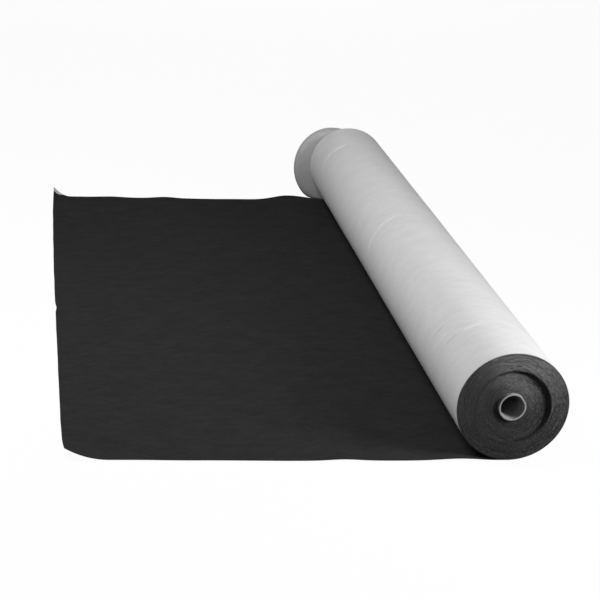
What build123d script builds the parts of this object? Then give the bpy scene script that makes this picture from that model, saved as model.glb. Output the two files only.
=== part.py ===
"""Roll of roofing felt on its core tube, with one end of the sheet unrolled flat on the floor.

Millimetres, +Z up. The roll lies along Y, its near end towards -Y. The unrolled end runs towards -X.
The origin is at the middle of the bottom of the bounding box.
"""
import math
import os

from build123d import *

# Sheet
SHEET_WIDTH = 1500.0
SHEET_THICKNESS = 0.45
UNROLLED_REACH = 680.0  # from below the roll's axis to the free edge

# Winding
ROLL_DIAMETER = 175.0
BUNDLE_COUNT = 18  # groups of turns that show as rings on each end
STEP_RADIUS_SHARE = 0.655  # turns inside this share of the radius have slid along the core
SLIDE_AT_STEP = 8.0
SLIDE_AT_CORE = 4.0
RING_WANDER = 0.7  # how far single groups stand off the general line of an end
RING_WANDER_ANGLE = 2.4  # radians from one group to the next

# Core tube
CORE_BORE_DIAMETER = 38.0
CORE_WALL = 2.5
CORE_PROUD = 2.0  # beyond the outer turns, at the near end
WINDING_CLEARANCE = 0.2  # between the tube and the first turn

# Turns that have slipped out of the far end and sag towards the unrolled side
SLIP_LENGTH = 30.0
SLIP_TURNS = 4
SLIP_CLEARANCE = 0.2  # between the slipped turns and the end that they came out of
SLIP_SIDE_SHARE = 0.44  # sideways shift of the sagging rim's middle, of the roll's radius
SLIP_DROP_SHARE = 0.135  # and its drop
SLIP_LEFT_SHARE = 0.963  # reach of the rim from its middle, towards the unrolled side
SLIP_RIGHT_SHARE = 1.14  # and away from it
SLIP_HEIGHT_SHARE = 1.07  # and up; below, the floor flattens it
SLIP_SAG_SHARES = (0, 0.72, 0.96, 1)  # how much of the sag is reached
SLIP_PLACE_SHARES = (0, 0.2, 0.5, 1)  # at these places along the slip
SLIP_POINTS = 28
FLOOR_BLEND = 9.0  # how softly the slipped turns flatten on the floor

radius = ROLL_DIAMETER / 2
core_radius = CORE_BORE_DIAMETER / 2 + CORE_WALL
first_turn = core_radius + WINDING_CLEARANCE
bundle = (radius - first_turn) / BUNDLE_COUNT
step_radius = radius * STEP_RADIUS_SHARE
slip_thickness = SLIP_TURNS * SHEET_THICKNESS
slip_radius = radius - bundle

axis_x = (UNROLLED_REACH - radius) / 2
near_face = (CORE_PROUD - SLIP_LENGTH - SHEET_WIDTH) / 2
far_face = near_face + SHEET_WIDTH
core_length = SHEET_WIDTH
axis_point = (axis_x, 0, radius)
turning_plane = Plane(origin=axis_point, x_dir=(1, 0, 0), z_dir=(0, 0, 1))
turning_axis = Axis(axis_point, (0, 1, 0))


def slide(index):
    """How far a group of turns has slid towards the far end."""
    middle = first_turn + (index + 0.5) * bundle
    wander = RING_WANDER * math.sin(RING_WANDER_ANGLE * index)
    if middle > step_radius:
        return wander
    share = (middle - first_turn) / (step_radius - first_turn)
    return SLIDE_AT_CORE + (SLIDE_AT_STEP - SLIDE_AT_CORE) * share + wander


def end_outline(face):
    """Points of an end's stepped line, from the first turn outwards."""
    points = []
    for index in range(BUNDLE_COUNT - 2):
        inner = first_turn + index * bundle
        points.append((inner, face + slide(index)))
        points.append((inner + bundle, face + slide(index)))
    points.append((slip_radius - bundle, face))
    points.append((radius, face))
    return points


def slipped_outline(inset, sag):
    """Closed line of the slipped turns at one place along the roll, flattened where it meets the floor."""
    middle_x = -radius * SLIP_SIDE_SHARE * sag
    middle_z = radius - radius * SLIP_DROP_SHARE * sag
    left = slip_radius + (radius * SLIP_LEFT_SHARE - slip_radius) * sag - inset
    right = slip_radius + (radius * SLIP_RIGHT_SHARE - slip_radius) * sag - inset
    height = slip_radius + (radius * SLIP_HEIGHT_SHARE - slip_radius) * sag - inset
    blend = FLOOR_BLEND * sag
    points = []
    for index in range(SLIP_POINTS):
        angle = 2 * math.pi * index / SLIP_POINTS
        reach = right if math.cos(angle) > 0 else left
        above = middle_z + height * math.sin(angle) - inset
        above = (above + math.sqrt(above * above + blend * blend)) / 2
        points.append((middle_x + reach * math.cos(angle), inset + above))
    return points


def across(share):
    """Plane across the slipped turns at a share of their length, below the roll's axis."""
    along = far_face + SLIP_CLEARANCE + (SLIP_LENGTH - SLIP_CLEARANCE) * share
    return Plane(origin=(axis_x, along, 0), x_dir=(1, 0, 0), z_dir=(0, -1, 0))


os.makedirs("parts", exist_ok=True)

with BuildPart() as slipped:
    for sag, place in zip(SLIP_SAG_SHARES, SLIP_PLACE_SHARES):
        with BuildSketch(across(place)):
            with BuildLine():
                Spline(*slipped_outline(0, sag), periodic=True)
            make_face()
    loft(ruled=True)
    for sag, place in zip(SLIP_SAG_SHARES, SLIP_PLACE_SHARES):
        with BuildSketch(across(place)):
            with BuildLine():
                Spline(*slipped_outline(slip_thickness, sag), periodic=True)
            make_face()
    loft(ruled=True, mode=Mode.SUBTRACT)

with BuildPart() as felt:
    with BuildSketch(turning_plane):
        with BuildLine():
            near_line = end_outline(near_face)
            far_line = end_outline(far_face)
            Polyline(*near_line, *reversed(far_line), close=True)
        make_face()
    revolve(axis=turning_axis)
    with Locations((axis_x, near_face + SHEET_WIDTH / 2, 0)):
        Box(
            UNROLLED_REACH,
            SHEET_WIDTH,
            SHEET_THICKNESS,
            align=(Align.MAX, Align.CENTER, Align.MIN),
        )
felt_sheet = Compound(label="felt_sheet", children=[felt.part.solid(), slipped.part.solid()])
export_step(felt_sheet, "parts/felt_sheet.step")

with BuildPart() as core:
    with BuildSketch(turning_plane):
        with Locations((CORE_BORE_DIAMETER / 2, near_face - CORE_PROUD)):
            Rectangle(CORE_WALL, core_length, align=(Align.MIN, Align.MIN))
    revolve(axis=turning_axis)
core.part.label = "core_tube"
export_step(core.part, "parts/core_tube.step")
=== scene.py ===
"""Roll of roofing felt on its core tube, with its free end unrolled flat on the floor.

Metres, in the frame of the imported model: the roll lies along Y, its near end towards -Y,
and the free end runs towards -X.
"""
import math
import random

import bmesh
import bpy
from mathutils import Matrix, Vector, noise


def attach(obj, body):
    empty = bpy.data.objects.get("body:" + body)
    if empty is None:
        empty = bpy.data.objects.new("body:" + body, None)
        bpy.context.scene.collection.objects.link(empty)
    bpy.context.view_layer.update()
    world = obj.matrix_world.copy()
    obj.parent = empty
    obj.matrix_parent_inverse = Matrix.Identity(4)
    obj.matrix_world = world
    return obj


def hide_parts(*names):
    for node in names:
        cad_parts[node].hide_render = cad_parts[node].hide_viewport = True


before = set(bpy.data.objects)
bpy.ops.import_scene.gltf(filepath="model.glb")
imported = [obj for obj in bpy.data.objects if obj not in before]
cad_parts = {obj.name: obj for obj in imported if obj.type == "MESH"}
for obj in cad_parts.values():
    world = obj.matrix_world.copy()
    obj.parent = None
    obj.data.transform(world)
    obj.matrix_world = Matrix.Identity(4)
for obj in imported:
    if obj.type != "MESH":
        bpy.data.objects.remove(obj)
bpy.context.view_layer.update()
scene = bpy.context.scene
chance = random.Random(11)

FULL_TURN = 2 * math.pi

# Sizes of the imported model
AXIS_X, RADIUS = 0.29625, 0.0875
NEAR, FAR = -0.764, 0.736
WIDTH = FAR - NEAR
SHEET, REACH = 0.00045, 0.680  # the sheet's thickness, and the length of its free end
CORE_BORE, CORE_OUT, CORE_LENGTH, CORE_PROUD = 0.0190, 0.0215, 1.5, 0.002
TURNS_IN, TURNS_OUT = 0.0217, 0.0864  # radii of the turns inside the outermost one
SLOT_IN, SLOT_OUT = 0.0821, 0.0839  # radii between which turns have slipped out of the far end
SLIP = 0.030  # how far these stand out


# Materials

NOISE, VORONOI, WAVE = "ShaderNodeTexNoise", "ShaderNodeTexVoronoi", "ShaderNodeTexWave"
SHEEN_ROUGHNESS = 0.5


class Look:
    """A material in the making. Its textures lie on the sheet's own coordinates."""

    def __init__(self, name, roughness, sheen, gloss):
        self.material = bpy.data.materials.new(name)
        self.material.use_nodes = True
        self.nodes = self.material.node_tree.nodes
        self.links = self.material.node_tree.links
        self.inputs = self.nodes["Principled BSDF"].inputs
        self.inputs["Roughness"].default_value = roughness
        self.inputs["Specular IOR Level"].default_value = gloss
        self.inputs["Sheen Weight"].default_value = sheen
        self.inputs["Sheen Roughness"].default_value = SHEEN_ROUGHNESS

    def pattern(self, kind, per_metre, turn=0.0, **values):
        """A texture, so many times a metre along the winding and across it."""
        place = self.nodes.new("ShaderNodeUVMap")
        place.uv_map = "sheet"
        stretch = self.nodes.new("ShaderNodeMapping")
        stretch.vector_type = "TEXTURE"
        stretch.inputs["Scale"].default_value = (1 / per_metre[0], 1 / per_metre[1], 1)
        stretch.inputs["Rotation"].default_value = (0, 0, turn)
        texture = self.nodes.new(kind)
        texture.inputs["Scale"].default_value = 1
        for socket, value in values.items():
            texture.inputs[socket].default_value = value
        self.links.new(place.outputs["UV"], stretch.inputs["Vector"])
        self.links.new(stretch.outputs["Vector"], texture.inputs["Vector"])
        return texture.outputs["Distance" if kind == VORONOI else 0]

    def weighted(self, *parts):
        """Sum of several patterns, each times its weight."""
        total = None
        for source, weight in parts:
            step = self.nodes.new("ShaderNodeMath")
            step.operation = "MULTIPLY_ADD"
            step.inputs[1].default_value = weight
            step.inputs[2].default_value = 0
            self.links.new(source, step.inputs[0])
            if total is not None:
                self.links.new(total, step.inputs[2])
            total = step.outputs[0]
        return total

    def ramp(self, source, *stops):
        """The source as a grey between two stops, each a place and a tone."""
        node = self.nodes.new("ShaderNodeValToRGB")
        for stop, (place, tone) in zip(node.color_ramp.elements, stops):
            stop.position = place
            stop.color = (tone, tone, tone, 1)
        self.links.new(source, node.inputs[0])
        return node.outputs[0]

    def dress(self, tone, rough, relief, strength, distance):
        """The finished material, from its tone, roughness and relief."""
        node = self.nodes.new("ShaderNodeBump")
        node.inputs["Strength"].default_value = strength
        node.inputs["Distance"].default_value = distance
        self.links.new(relief, node.inputs["Height"])
        self.links.new(tone, self.inputs["Base Color"])
        self.links.new(rough, self.inputs["Roughness"])
        self.links.new(node.outputs[0], self.inputs["Normal"])
        return self.material


def felt(name, low, high, roughness, sheen, gloss):
    """Point-bonded non-woven: crossing streaks, cloudy density, loose fibres and bond points."""
    look = Look(name, roughness, sheen, gloss)
    streaks = look.pattern(NOISE, (26, 80), 0.45, Detail=4)
    strands = look.pattern(NOISE, (36, 105), -0.50, Detail=4)
    clouds = look.pattern(NOISE, (16, 24), Detail=4)
    fibres = look.pattern(NOISE, (130, 210), Detail=5)
    bonds = look.pattern(VORONOI, (520, 520), math.pi / 4, Randomness=0.12)
    tone = look.weighted((streaks, 0.26), (strands, 0.26), (clouds, 0.24), (fibres, 0.24))
    relief = look.weighted((fibres, 0.7), (bonds, 0.5), (streaks, 0.3), (strands, 0.3))
    return look.dress(
        look.ramp(tone, (0.40, low), (0.60, high)),
        look.ramp(fibres, (0.3, roughness - 0.1), (0.7, roughness + 0.1)),
        relief,
        strength=0.35,
        distance=0.0004,
    )


def turn_edges(name, low, high):
    """Cut edges of many turns: thin dark and pale layers, frayed in places."""
    look = Look(name, roughness=0.75, sheen=0.02, gloss=0.0)
    layers = look.pattern(NOISE, (40, 1500), Detail=3)
    groups = look.pattern(NOISE, (24, 330), Detail=4)
    fray = look.pattern(NOISE, (420, 620), Detail=4)
    tone = look.weighted((layers, 0.2), (groups, 0.3), (fray, 0.5))
    return look.dress(
        look.ramp(tone, (0.40, low), (0.60, high)),
        look.ramp(fray, (0.3, 0.65), (0.7, 0.9)),
        look.weighted((layers, 0.7), (fray, 0.7)),
        strength=0.5,
        distance=0.0005,
    )


def board(name, low, high):
    """Spiral-wound paper board: ply seams, fibre flecks and faint stains."""
    look = Look(name, roughness=0.7, sheen=0.05, gloss=0.1)
    seams = look.pattern(WAVE, (5.5, 5.5), 0.9, Distortion=0.4)
    flecks = look.pattern(NOISE, (420, 420), Detail=5)
    stains = look.pattern(NOISE, (30, 30), Detail=3)
    lines = look.ramp(seams, (0.0, 0.0), (0.06, 1.0))
    tone = look.weighted((flecks, 0.35), (stains, 0.4), (lines, 0.12))
    return look.dress(
        look.ramp(tone, (0.38, low), (0.62, high)),
        look.ramp(flecks, (0.3, 0.6), (0.7, 0.82)),
        look.weighted((flecks, 0.5), (lines, 0.6)),
        strength=0.4,
        distance=0.0004,
    )


pale = felt("felt_pale", 0.725, 0.795, roughness=0.65, sheen=0.08, gloss=0.02)
# The pale felt darkened as painted shade, for the slipped turns' pale side and the grey far corner
# of the free end.
pale_painted_shade = felt("felt_pale_painted_shade", 0.50, 0.60, roughness=0.7, sheen=0.04, gloss=0.02)
dark = felt("felt_dark", 0.0240, 0.0322, roughness=0.65, sheen=0.012, gloss=0.0)
edges = turn_edges("felt_edges", 0.015, 0.094)
paper = board("core_board", 0.42, 0.52)
# The board darkened as painted shade, for the inside of the bore.
bore_painted_shade = board("core_bore_painted_shade", 0.34, 0.42)


# Pieces


class Shape:
    """Points and faces of a piece. A face has a material number and its sheet coordinates."""

    def __init__(self):
        self.points, self.faces, self.kinds, self.coords = [], [], [], []

    def face(self, corners, kind, coords):
        self.faces.append(corners)
        self.kinds.append(kind)
        self.coords.append(coords)


def piece(name, shape, materials, sharp, slot, *nodes):
    """A mesh piece on the root body, smooth but for edges over the sharp angle in degrees."""
    mesh = bpy.data.meshes.new(name)
    mesh.from_pydata(shape.points, [], shape.faces)
    for mat in materials:
        mesh.materials.append(mat)
    mesh.polygons.foreach_set("material_index", shape.kinds)
    layer = mesh.uv_layers.new(name="sheet")
    places = [place for face in shape.coords for place in face]
    layer.data.foreach_set("uv", [value for place in places for value in place])
    work = bmesh.new()
    work.from_mesh(mesh)
    bmesh.ops.recalc_face_normals(work, faces=work.faces)
    work.to_mesh(mesh)
    work.free()
    mesh.polygons.foreach_set("use_smooth", [True] * len(mesh.polygons))
    mesh.set_sharp_from_angle(angle=math.radians(sharp))
    obj = bpy.data.objects.new(name, mesh)
    scene.collection.objects.link(obj)
    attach(obj, "root")
    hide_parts(*nodes)
    return obj


def bell(distance, width):
    return math.exp(-((distance / width) ** 2))


def fade(distance, reach):
    return math.exp(-max(distance, 0) / reach)


def ease(value):
    value = min(max(value, 0), 1)
    return value * value * (3 - 2 * value)


def wobble(x, y, z):
    return noise.noise(Vector((x, y, z)))


def round_wobble(angle, scale, level):
    """Smooth noise that closes on itself round the roll."""
    return wobble(math.cos(angle) * scale, math.sin(angle) * scale, level)


# Free end and outermost turn

# Creases in the outermost turn: place along Y, first and last angle from the bottom of the roll
# in degrees, height, and drift along Y
CREASES = (
    (0.598, 198, 250, 0.0031, 0.006),
    (0.010, 196, 262, 0.0024, -0.016),
    (-0.616, 192, 246, 0.0022, 0.004),
    (-0.553, 216, 250, 0.0015, 0.010),
    (0.285, 150, 200, 0.0005, 0.012),
    (-0.280, 205, 250, 0.0004, -0.008),
)
CREASE_WIDTH = 0.0027
CREASE_FULLNESS = 0.6  # under 1, so that a crease keeps its height towards its ends
DIP_SHARE, DIP_BESIDE, DIP_WIDTH = 0.5, 0.0055, 0.0040  # the hollow beside a crease
FAINT_CREASE = 0.0005  # up to this height a crease needs no finer mesh

# Curled corners of the free end: steepness, reach along the sheet, and skew across it
NEAR_CURL = (3.65, 0.069, 0.62)
FAR_CURL = (13.7, 0.040, 0.45)
# Waves in the sides of the free end: height, distance from the axis, half width towards the roll
# and away from it, and how soon the wave dies away from the side
NEAR_WAVES = (
    (0.0025, 0.255, 0.032, 0.032, 0.09),
    (0.0034, 0.070, 0.045, 0.045, 0.20),
)
FAR_WAVES = (
    (0.0105, 0.140, 0.072, 0.046, 0.12),
    (0.0030, 0.425, 0.030, 0.030, 0.10),
    (0.0015, 0.545, 0.030, 0.030, 0.08),
)
WAVE_ROOT = 0.05  # length over which the near side's waves grow out of the roll
EDGE_RISE, RISE_ALONG, RISE_ACROSS = 0.0022, 0.06, 0.12  # of the free edge, at its near corner
SWELL, SWELL_MORE, SWELL_ROOT = 0.0011, 0.25, 0.12  # gentle unevenness of the free end

TURNS_ASKEW = 0.0025  # how far the outer turns lie off the core at the far end, towards -X
BULGE_RIGHT = 0.0024  # how far they bulge towards +X at the near end
NEAR_ASKEW, FAR_ASKEW = 0.0042, 0.0165  # how far the two sides of the free end lie towards -Y
ASKEW_REACH, ASKEW_CURVE = 0.55, 0.7  # how the far side gets there
JOIN = 0.06  # length over which the free end passes into the roll
EDGE_DEPTH = 0.05  # how soon the shape of the free edge dies away
SIDE_WAVER, SIDE_DEPTH = 0.0005, 0.02  # waver of the cut sides
SLACK, FINE_SLACK = 0.00035, 0.00008  # unevenness of the outermost turn
CALM = 0.5  # radians at both ends of the outermost turn over which it lies close

PALE, DARK, GREY_TIP = 0, 1, 2
GREY_TIP_REACH, GREY_TIP_SKEW = 0.023, 0.8  # at the far corner of the free edge the dark side takes the pale felt darkened as painted shade
RIM_HIGHLIGHT_TO = 4.3  # radians round the roll up to which the cut sides are pale, a painted highlight along the rim; further round, on the left and lower left where the rim lies in shade, they are dark


def crease(angle, y):
    """Height of the creases at an angle from the bottom of the roll."""
    total = 0
    for place, first, last, height, drift in CREASES:
        share = (math.degrees(angle) - first) / (last - first)
        if 0 < share < 1:
            off = y - (place + drift * (share - 0.5))
            fold = bell(off, CREASE_WIDTH) - DIP_SHARE * bell(off + DIP_BESIDE, DIP_WIDTH)
            total += height * math.sin(math.pi * share) ** CREASE_FULLNESS * fold
    return total


def curl(s, side, steepness, reach, skew):
    return steepness * max(reach - s - skew * side, 0) ** 2


def wave(gap, side, height, place, width_in, width_out, depth):
    width = width_out if gap > place else width_in
    return height * bell(gap - place, width) * fade(side, depth)


def lift(s, y):
    """Height of the free end's underside over the floor, s metres from the free edge."""
    near, far, gap = y - NEAR, FAR - y, REACH - s
    up = curl(s, near, *NEAR_CURL) + curl(s, far, *FAR_CURL)
    up += EDGE_RISE * fade(s, RISE_ALONG) * fade(near, RISE_ACROSS)
    up += sum(wave(gap, near, *row) for row in NEAR_WAVES) * ease(gap / WAVE_ROOT)
    up += sum(wave(gap, far, *row) for row in FAR_WAVES)
    swell = wobble(s * 5.2, y * 2.1, 3.0) + 0.5 * wobble(s * 13, y * 4.3, 8.0)
    return up + SWELL * max(swell + SWELL_MORE, 0) * ease(gap / SWELL_ROOT)


def edge_inset(y):
    """How far in the free edge is cut: rounded corners, a nick, and a slight bow outwards."""
    rounded = 0.004 * fade(y - NEAR, 0.10) + 0.003 * fade(FAR - y, 0.07)
    nick = 0.0022 * bell(y + 0.056, 0.018)
    bow = 0.0022 * bell(y - 0.15, 0.42)
    return rounded + nick - bow + 0.0006 * wobble(y * 14, 2.0, 0.0)


def sideways(y):
    """How far the outer turns lie off the core along X."""
    return -TURNS_ASKEW * (y - NEAR) / WIDTH


def settle(x, y, z):
    """A point of the winding, moved as the outer turns lie askew and bulge on the right."""
    out = min(((x - AXIS_X) ** 2 + (z - RADIUS) ** 2) / RADIUS ** 2, 1)
    wide = BULGE_RIGHT * max((x - AXIS_X) / RADIUS, 0) * (FAR - y) / WIDTH
    return (x + out * (sideways(y) + wide), y, z)


def sheet_point(s, y, depth):
    """A point of the sheet, s metres from the free edge and depth metres in from its pale side."""
    near, far = y - NEAR, FAR - y
    waver = SIDE_WAVER * wobble(s * 9, 5.0, 0.0) * fade(near, SIDE_DEPTH)
    waver += SIDE_WAVER * wobble(s * 9, 9.0, 0.0) * fade(far, SIDE_DEPTH)
    if s <= REACH:
        share = near / WIDTH
        free = ease((REACH - s) / JOIN)
        askew = NEAR_ASKEW * free * (1 - share)
        askew += FAR_ASKEW * max(1 - s / ASKEW_REACH, 0) ** ASKEW_CURVE * share
        x = AXIS_X - REACH + s + edge_inset(y) * fade(s, EDGE_DEPTH) + sideways(y) * (1 - free)
        return (x, y + waver - askew, lift(s, y) + depth)
    angle = (s - REACH) / RADIUS
    slack = SLACK * round_wobble(angle, 1.3, y * 4.5)
    slack += FINE_SLACK * round_wobble(angle, 2, y * 26)
    calm = ease(angle / CALM) * ease((FULL_TURN - angle) / CALM)
    r = RADIUS - SHEET * angle / FULL_TURN - depth + (crease(angle, y) + slack) * calm
    return settle(AXIS_X + r * math.sin(angle), y + waver, RADIUS - r * math.cos(angle))


def spaced(first, last, step):
    """Even places from first up to last, but without last."""
    count = max(round((last - first) / step), 1)
    return [first + (last - first) * index / count for index in range(count)]


# Mesh of the sheet: zones along it that end so far from the free edge, and strips across it
EDGE_ZONE, EDGE_STEP = 0.09, 0.0045
FLAT_ZONE, FLAT_STEP = 0.48, 0.0105
ROLL_STEP, TURN_STEPS = 0.0065, 116
BORDER, BORDER_STEP, ACROSS_STEP = 0.012, 0.002, 0.0115
CREASE_BORDER, CREASE_STEP = 0.006, 0.0016

along = spaced(0, EDGE_ZONE, EDGE_STEP) + spaced(EDGE_ZONE, FLAT_ZONE, FLAT_STEP)
along += spaced(FLAT_ZONE, REACH, ROLL_STEP)
along += [REACH + RADIUS * FULL_TURN * index / TURN_STEPS for index in range(TURN_STEPS + 1)]
across = spaced(NEAR, NEAR + BORDER, BORDER_STEP)
across += spaced(NEAR + BORDER, FAR - BORDER, ACROSS_STEP)
across += spaced(FAR - BORDER, FAR, BORDER_STEP) + [FAR]
for place, _, _, height, drift in CREASES:
    reach = abs(drift) / 2 + CREASE_BORDER
    if height > FAINT_CREASE:
        across = [y for y in across if abs(y - place) > reach]
        across += spaced(place - reach, place + reach, CREASE_STEP)
across.sort()

rows, columns = len(along), len(across)
sheet_shape = Shape()
for depth in (0, SHEET):
    sheet_shape.points += [sheet_point(s, y, depth) for s in along for y in across]


def sheet_face(kind, *corners):
    """A face of the sheet. A corner is a side (0 pale, 1 dark), a row and a column."""
    sheet_shape.face(
        [(side * rows + i) * columns + j for side, i, j in corners],
        kind,
        [(along[i], across[j] - NEAR) for _, i, j in corners],
    )


for i in range(rows - 1):
    for j in range(columns - 1):
        for side in (PALE, DARK):
            # Painted shade: near the far corner the dark faces take the grey, darkened copy of the
            # pale felt.
            grey_tip = side and FAR - across[j] + GREY_TIP_SKEW * along[i + 1] < GREY_TIP_REACH
            kind = GREY_TIP if grey_tip else side
            sheet_face(kind, (side, i, j), (side, i + 1, j), (side, i + 1, j + 1), (side, i, j + 1))
for i in range(rows - 1):
    for j in (0, columns - 1):
        # Pale cut sides are a painted highlight along the rim. They are left dark where the rim
        # lies in shade.
        kind = PALE if REACH < along[i] < REACH + RADIUS * RIM_HIGHLIGHT_TO else DARK
        sheet_face(kind, (0, i, j), (0, i + 1, j), (1, i + 1, j), (1, i, j))
for j in range(columns - 1):
    for i in (0, rows - 1):
        sheet_face(DARK, (0, i, j), (0, i, j + 1), (1, i, j + 1), (1, i, j))
outer = piece("sheet_outer", sheet_shape, (pale, dark, pale_painted_shade), 40, "felt_pale", "felt_sheet")


# Wound turns inside the outermost one. Each turn's edge is a dark flat and a narrow pale slope
# on its outer side.
RINGS, PARTS = 112, 132
EDGE_ROWS = 3 * RINGS
FLAT, SLOPE, INSIDE = 0, 1, 2  # material numbers
STEP_AT, STEP_WIDE = 0.0573, 0.0075  # radius of the step that the slid turns make, and its width
STEP_DEEP, STEP_AT_CORE = 0.0080, 0.006  # how far they have slid there, and at the core
SLID_MOST = 0.5  # angle up from +X at which they have slid the most
UNEVEN_OVER = 0.025  # out from the first turn, until they have slid unevenly
END_BULGE = 0.0020  # how far the near end stands out between its rim and the step
SLOPE_SHARE, SLOPE_VARIES = 0.13, 0.19  # pale share of a turn's edge
SLOPE_LEAST, SLOPE_MOST, SLOPE_FALL = 0.03, 0.34, 1.8
SLOPE_AT_CORE, SLOPE_FULL = 0.4, 0.014  # less of it at the first turns, which are tightly wound, and so painted shade round the core; all of it so far out
TURN_FROM, TURN_TO = 0.03, 0.97  # share of the pitch that a turn takes up
WANDER, FINE_WANDER = 0.00030, 0.00020  # how far a turn's edge strays along Y
GROUP_JITTER, TURN_JITTER = 0.00009, 0.00012  # how far groups and single turns stand off
GROUP_LEAST, GROUP_MOST = 2, 5  # turns in a group
END_INSET, SLOT_DEEP = 0.0004, 0.006
RING_RADIUS, SHOULDER, INSIDE_STEP = 0.06, 0.85, 0.003  # for the sheet coordinates

pitch = (TURNS_OUT - TURNS_IN) / RINGS
jitter = []  # of each turn, at the near and at the far end
while len(jitter) < RINGS:
    base = chance.uniform(-GROUP_JITTER, GROUP_JITTER)
    jitter += [
        [base + chance.uniform(-TURN_JITTER, TURN_JITTER) for _ in range(2)]
        for _ in range(chance.randint(GROUP_LEAST, GROUP_MOST))
    ]


def slide(r, angle):
    """How far the turns at this radius have slid towards the far end, hardly at all on the left."""
    inner = STEP_AT_CORE + (STEP_DEEP - STEP_AT_CORE) * (r - TURNS_IN) / (STEP_AT - TURNS_IN)
    uneven = 1 - 0.5 * (1 - math.cos(angle - SLID_MOST)) * ease((r - TURNS_IN) / UNEVEN_OVER)
    bulge = END_BULGE * min(max((TURNS_OUT - r) / (TURNS_OUT - STEP_AT), 0), 1)
    return inner * uneven * (1 - ease((r - STEP_AT) / STEP_WIDE + 0.5)) - bulge


def ring_point(end, ring, edge, part):
    """A point of a turn's edge on the near (0) or far (1) end.

    It is on the turn's inner side (0), on its shoulder (1) or on its outer side (2).
    """
    angle = FULL_TURN * part / PARTS
    turned = Vector((math.cos(angle), math.sin(angle), 0))

    def varied(scale, level):
        return noise.noise(turned * scale + Vector((0, 0, level)))

    middle = TURNS_IN + pitch * (ring + 0.5)
    slope = SLOPE_SHARE + SLOPE_VARIES * varied(11, ring * 0.33 + 60 * end)
    # Narrower pale slopes by the core come partly from the tightly wound turns and are partly
    # painted shade round the core.
    slope *= SLOPE_AT_CORE + (1 - SLOPE_AT_CORE) * ease((middle - TURNS_IN) / SLOPE_FULL)
    slope = min(max(slope, SLOPE_LEAST), SLOPE_MOST)
    r = TURNS_IN + pitch * (ring + (TURN_FROM, TURN_TO - slope, TURN_TO)[edge])
    wander = WANDER * varied(1.6, ring * 0.12 + 40 * end)
    wander += FINE_WANDER * varied(15, ring * 0.7 + 90 * end)
    y = slide(middle, angle) + jitter[ring][end] + wander
    if end and SLOT_IN < middle < SLOT_OUT:
        y -= SLOT_DEEP
    back = pitch * slope * SLOPE_FALL if edge == 2 else 0
    y = FAR - END_INSET + y - back if end else NEAR + END_INSET + y + back
    return settle(AXIS_X + r * math.cos(angle), y, RADIUS + r * math.sin(angle))


def ring_index(end, row, part):
    return (end * EDGE_ROWS + row) * PARTS + part % PARTS


def ring_place(row, part):
    """Sheet coordinates on an end: metres round a middle ring, and metres from the axis."""
    out = TURNS_IN + pitch * (row // 3 + (0, SHOULDER, 1)[row % 3])
    return (FULL_TURN * part / PARTS * RING_RADIUS, out)


wound_shape = Shape()
for end in (0, 1):
    for row in range(EDGE_ROWS):
        wound_shape.points += [ring_point(end, row // 3, row % 3, part) for part in range(PARTS)]
for end in (0, 1):
    for row in range(EDGE_ROWS - 1):
        for part in range(PARTS):
            corners = ((row, part), (row, part + 1), (row + 1, part + 1), (row + 1, part))
            face = [ring_index(end, *corner) for corner in corners]
            rise = wound_shape.points[face[3]][1] - wound_shape.points[face[0]][1]
            bared = row % 3 == 2 and rise * (-1 if end else 1) > 0
            kind = SLOPE if row % 3 == 1 or bared else FLAT
            wound_shape.face(face, kind, [ring_place(*corner) for corner in corners])
for row, kind in ((0, INSIDE), (EDGE_ROWS - 1, SLOPE)):
    for part in range(PARTS):
        corners = ((0, part), (0, part + 1), (1, part + 1), (1, part))
        u_low, u_high = part * INSIDE_STEP, part * INSIDE_STEP + INSIDE_STEP
        wound_shape.face(
            [ring_index(end, row, place) for end, place in corners],
            kind,
            [(u_low, 0), (u_high, 0), (u_high, WIDTH), (u_low, WIDTH)],
        )
piece("turns_wound", wound_shape, (edges, pale, dark), 28, "felt_dark", "felt_sheet")


# Turns that have slipped out of the far end and sag towards the unrolled side
SIDE, DROP = 0.44, 0.135  # sideways shift and drop of the sagging rim's middle, of the radius
LEFT, RIGHT, TALL = 0.963, 1.14, 1.06  # reach of the rim from there, of the radius
BLEND = 0.009  # how softly the turns flatten on the floor
FLARE = 7  # how soon they reach their full sag
ROOT, ROOT_SHARE = 0.0045, 0.16  # how far they start inside the roll, and its share of the slip
LAYERS, AROUND = 4, 128
LAYER_FILL, LAYER_SHORTER = 0.92, 0.004  # the sheet's share of a layer; each one is shorter
SLOT_CLEARANCE = 0.00003
RUFFLE = 0.0012  # waver of the far rim
STRIP, STRIP_STEP, STRIP_TURN = 0.034, 0.0041, 0.53  # width, step and turn in sheet coordinates
stations = [0, 0.12, 0.16, 0.20, 0.25, 0.30, 0.37, 0.45, 0.54, 0.64, 0.74, 0.84, 0.93, 1]
count = len(stations)


def slipped_point(part, share, inset):
    """A point of the slipped turns, share of the way from inside the roll to the far rim."""
    out = max((share - ROOT_SHARE) / (1 - ROOT_SHARE), 0)
    sag = 1 - (1 - out) ** FLARE
    angle = FULL_TURN * part / AROUND
    base = SLOT_OUT - SLOT_CLEARANCE
    sides = RIGHT if math.cos(angle) > 0 else LEFT
    wide = base + (RADIUS * sides - base) * sag - inset
    tall = base + (RADIUS * TALL - base) * sag - inset
    blend = BLEND * sag
    above = RADIUS - RADIUS * DROP * sag + tall * math.sin(angle) - inset * sag
    if sag > 0:
        above = (above + math.sqrt(above * above + blend * blend)) / 2
    x = AXIS_X - RADIUS * SIDE * sag + sideways(FAR) * (1 - sag) + wide * math.cos(angle)
    y = FAR - ROOT + (SLIP + ROOT) * share
    y += RUFFLE * round_wobble(angle, 1.7, 4 + inset * 900) * out
    return (x, y, above + inset * sag)


def slip_index(layer, row, part):
    return (layer * 2 * count + row) * AROUND + part % AROUND


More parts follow.
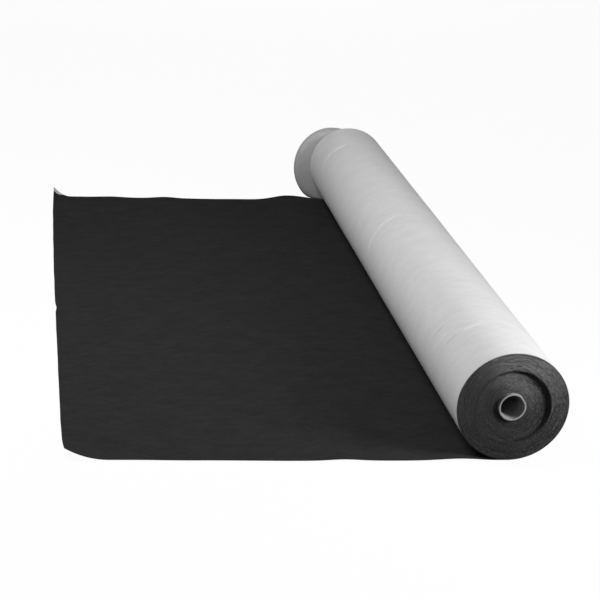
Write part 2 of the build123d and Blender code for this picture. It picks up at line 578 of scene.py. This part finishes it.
slipped_shape = Shape()
loop = list(range(count)) + list(range(2 * count - 1, count - 1, -1))
for layer in range(LAYERS):
    for depth in (0, LAYER_FILL):
        inset = SHEET * (layer + depth)
        for station in stations:
            share = station * (1 - LAYER_SHORTER * layer)
            slipped_shape.points += [slipped_point(part, share, inset) for part in range(AROUND)]
    for turn in range(2 * count):
        low, high = loop[turn], loop[(turn + 1) % (2 * count)]
        v_low, v_high = stations[low % count] * STRIP, stations[high % count] * STRIP
        for part in range(AROUND):
            u_low = part * STRIP_STEP + layer * STRIP_TURN
            u_high = (part + 1) * STRIP_STEP + layer * STRIP_TURN
            corners = ((low, part), (low, part + 1), (high, part + 1), (high, part))
            slipped_shape.face(
                [slip_index(layer, *corner) for corner in corners],
                PALE if turn < count - 1 else DARK,
                [(u_low, v_low), (u_high, v_low), (u_high, v_high), (u_low, v_high)],
            )
# Their pale side takes the pale felt darkened as painted shade.
slipped = piece("turns_slipped", slipped_shape, (pale_painted_shade, dark), 40, "felt_pale", "felt_sheet")


# Core tube, cut a little unevenly and dented at its near rim
SPAN = 120
RIM = 0.0004  # roundness of its rims
RIM_CUT = RIM * 0.3
DENT, DENT_DEPTH, DENT_AT, DENT_WIDTH = 0.0009, 0.010, 0.62, 0.30  # the angles in radians
OVAL, OVAL_DEPTH, OVAL_AT = 0.0003, 0.008, 1.0
RAGGED, RAGGED_DEPTH = 0.00012, 0.002
AROUND_CORE = 0.134  # its girth, in sheet coordinates
OUTSIDE, BORE = 0, 1  # material numbers
core_near = NEAR - CORE_PROUD
core_far = core_near + CORE_LENGTH
depths = (RIM, 0.003, 0.007, 0.014, 0.03, 0.06, 0.2, 0.6, 1.1, 1.4, CORE_LENGTH - RIM)
profile = [(CORE_OUT, core_near + depth) for depth in depths]
profile += [
    (CORE_OUT - RIM_CUT, core_far - RIM_CUT),
    (CORE_OUT - RIM, core_far),
    (CORE_BORE + RIM, core_far),
    (CORE_BORE + RIM_CUT, core_far - RIM_CUT),
]
profile += [(CORE_BORE, core_near + depth) for depth in reversed(depths)]
profile += [
    (CORE_BORE + RIM_CUT, core_near + RIM_CUT),
    (CORE_BORE + RIM, core_near),
    (CORE_OUT - RIM, core_near),
    (CORE_OUT - RIM_CUT, core_near + RIM_CUT),
]
bore_from = len(depths) + 3
bore_to = bore_from + len(depths)

travel = [0.0]  # metres round the profile
for (r, y), (r_next, y_next) in zip(profile, profile[1:] + profile[:1]):
    travel.append(travel[-1] + math.hypot(r_next - r, y_next - y))

tube_shape = Shape()
for r, y in profile:
    depth = y - core_near
    for part in range(SPAN):
        angle = FULL_TURN * part / SPAN
        dent = DENT * bell(angle - DENT_AT, DENT_WIDTH) * fade(depth, DENT_DEPTH)
        dent += OVAL * math.cos(2 * angle + OVAL_AT) * fade(depth, OVAL_DEPTH)
        ragged = RAGGED * round_wobble(angle, 9, r * 800) * fade(depth, RAGGED_DEPTH)
        x, z = (r - dent) * math.cos(angle), (r - dent) * math.sin(angle)
        tube_shape.points.append((AXIS_X + x, y + ragged, RADIUS + z))
for row in range(len(profile)):
    after = (row + 1) % len(profile)
    v_low, v_high = travel[row], travel[row + 1]
    for part in range(SPAN):
        corners = ((row, part), (row, part + 1), (after, part + 1), (after, part))
        u_low, u_high = part / SPAN * AROUND_CORE, (part + 1) / SPAN * AROUND_CORE
        tube_shape.face(
            [line * SPAN + place % SPAN for line, place in corners],
            BORE if bore_from <= row < bore_to else OUTSIDE,
            [(u_low, v_low), (u_high, v_low), (u_high, v_high), (u_low, v_high)],
        )
piece("core_board_tube", tube_shape, (paper, bore_painted_shade), 30, "core_board", "core_tube")


# Floor and backdrop

FLOOR_TONE, FLOOR_SHOWN, BACKDROP_TONE = 0.17, 0.95, 1
GLOW_SHARE = 0.96  # of what is seen of the floor; the rest shows the object's shadow
SKY = 0.08
FLOOR_AT = -0.0004
FLOOR_CORNERS = ((-9, -9), (9, -9), (9, 12), (-9, 12))


def seen_rays(nodes, links):
    """1 for the rays that look at the floor or the backdrop, 0 for those that light the object."""
    path = nodes.new("ShaderNodeLightPath")
    total = path.outputs["Is Camera Ray"]
    for kind in ("Is Glossy Ray", "Is Transmission Ray"):
        step = nodes.new("ShaderNodeMath")
        step.operation = "MAXIMUM"
        links.new(total, step.inputs[0])
        links.new(path.outputs[kind], step.inputs[1])
        total = step.outputs[0]
    return total


def plain(nodes, kind, tone):
    node = nodes.new(kind)
    node.inputs["Color"].default_value = (tone, tone, tone, 1)
    return node


def mixed(nodes, links, first, second):
    node = nodes.new("ShaderNodeMixShader")
    links.new(first.outputs[0], node.inputs[1])
    links.new(second.outputs[0], node.inputs[2])
    return node


floor_mesh = bpy.data.meshes.new("floor")
floor_mesh.from_pydata([(x, y, FLOOR_AT) for x, y in FLOOR_CORNERS], [], [(0, 1, 2, 3)])
floor = bpy.data.objects.new("floor", floor_mesh)
scene.collection.objects.link(floor)
floor_mat = bpy.data.materials.new("floor")
floor_mat.use_nodes = True
nodes, links = floor_mat.node_tree.nodes, floor_mat.node_tree.links
nodes.clear()
matt = plain(nodes, "ShaderNodeBsdfDiffuse", FLOOR_TONE)
white = plain(nodes, "ShaderNodeBsdfDiffuse", FLOOR_SHOWN)
glow = plain(nodes, "ShaderNodeEmission", BACKDROP_TONE)
glow.inputs["Strength"].default_value = 1
shown = mixed(nodes, links, white, glow)
shown.inputs[0].default_value = GLOW_SHARE
blend = mixed(nodes, links, matt, shown)
links.new(seen_rays(nodes, links), blend.inputs[0])
links.new(blend.outputs[0], nodes.new("ShaderNodeOutputMaterial").inputs["Surface"])
floor_mesh.materials.append(floor_mat)

world = bpy.data.worlds.new("studio")
scene.world = world
world.use_nodes = True
nodes, links = world.node_tree.nodes, world.node_tree.links
sky = nodes["Background"]
sky.inputs["Color"].default_value = (1, 1, 1, 1)
sky.inputs["Strength"].default_value = SKY
backdrop = plain(nodes, "ShaderNodeBackground", BACKDROP_TONE)
blend = mixed(nodes, links, sky, backdrop)
links.new(seen_rays(nodes, links), blend.inputs[0])
links.new(blend.outputs[0], nodes["World Output"].inputs["Surface"])


# Lamps and camera


def lamp(name, place, target, wide, tall, power):
    data = bpy.data.lights.new(name, "AREA")
    data.shape = "ELLIPSE"
    data.size, data.size_y = wide, tall
    data.energy = power
    obj = bpy.data.objects.new(name, data)
    scene.collection.objects.link(obj)
    obj.location = place
    obj.visible_camera = False
    obj.rotation_euler = (Vector(target) - Vector(place)).to_track_quat("-Z", "Y").to_euler()


lamp("key", (1.06, -1.20, 0.62), (0.30, -0.70, 0.08), 0.5, 0.5, 10.8)
lamp("soft", (-0.92, -0.42, 2.00), (-0.10, -0.02, 0.00), 0.7, 1.1, 34)
lamp("back", (0.34, 5.00, 0.50), (0.28, 0.75, 0.09), 0.9, 0.6, 30)

# The photograph's camera, fitted in radii of the roll: place from the bottom of its near end
ROLL_RADII = 17.102  # the roll's length
UNIT = WIDTH / ROLL_RADII
CAMERA_RIGHT, CAMERA_AHEAD, CAMERA_UP = -8.3577, -27.4161, 12.0440
FOCAL_PIXELS, PHOTO_PIXELS, SENSOR = 1750.98, 600, 36
yaw, pitch_down, roll = math.radians(9.32), math.radians(18.21), math.radians(3.77)
right = Vector((math.cos(yaw), -math.sin(yaw), 0))
ahead = Vector((math.sin(yaw), math.cos(yaw), 0))
up = Vector((0, 0, 1))
look = ahead * math.cos(pitch_down) - up * math.sin(pitch_down)
rise = up * math.cos(pitch_down) + ahead * math.sin(pitch_down)
level = right * math.cos(roll) + rise * math.sin(roll)
top = rise * math.cos(roll) - right * math.sin(roll)
cam = bpy.data.cameras.new("camera")
cam.sensor_width = SENSOR
cam.lens = FOCAL_PIXELS / PHOTO_PIXELS * SENSOR
cam.clip_end = 50
cam_obj = bpy.data.objects.new("camera", cam)
scene.collection.objects.link(cam_obj)
place = Vector((AXIS_X + CAMERA_RIGHT * UNIT, NEAR + CAMERA_AHEAD * UNIT, CAMERA_UP * UNIT))
cam_obj.matrix_world = Matrix.Translation(place) @ Matrix((level, top, -look)).transposed().to_4x4()
scene.camera = cam_obj
scene.view_settings.view_transform = "Standard"
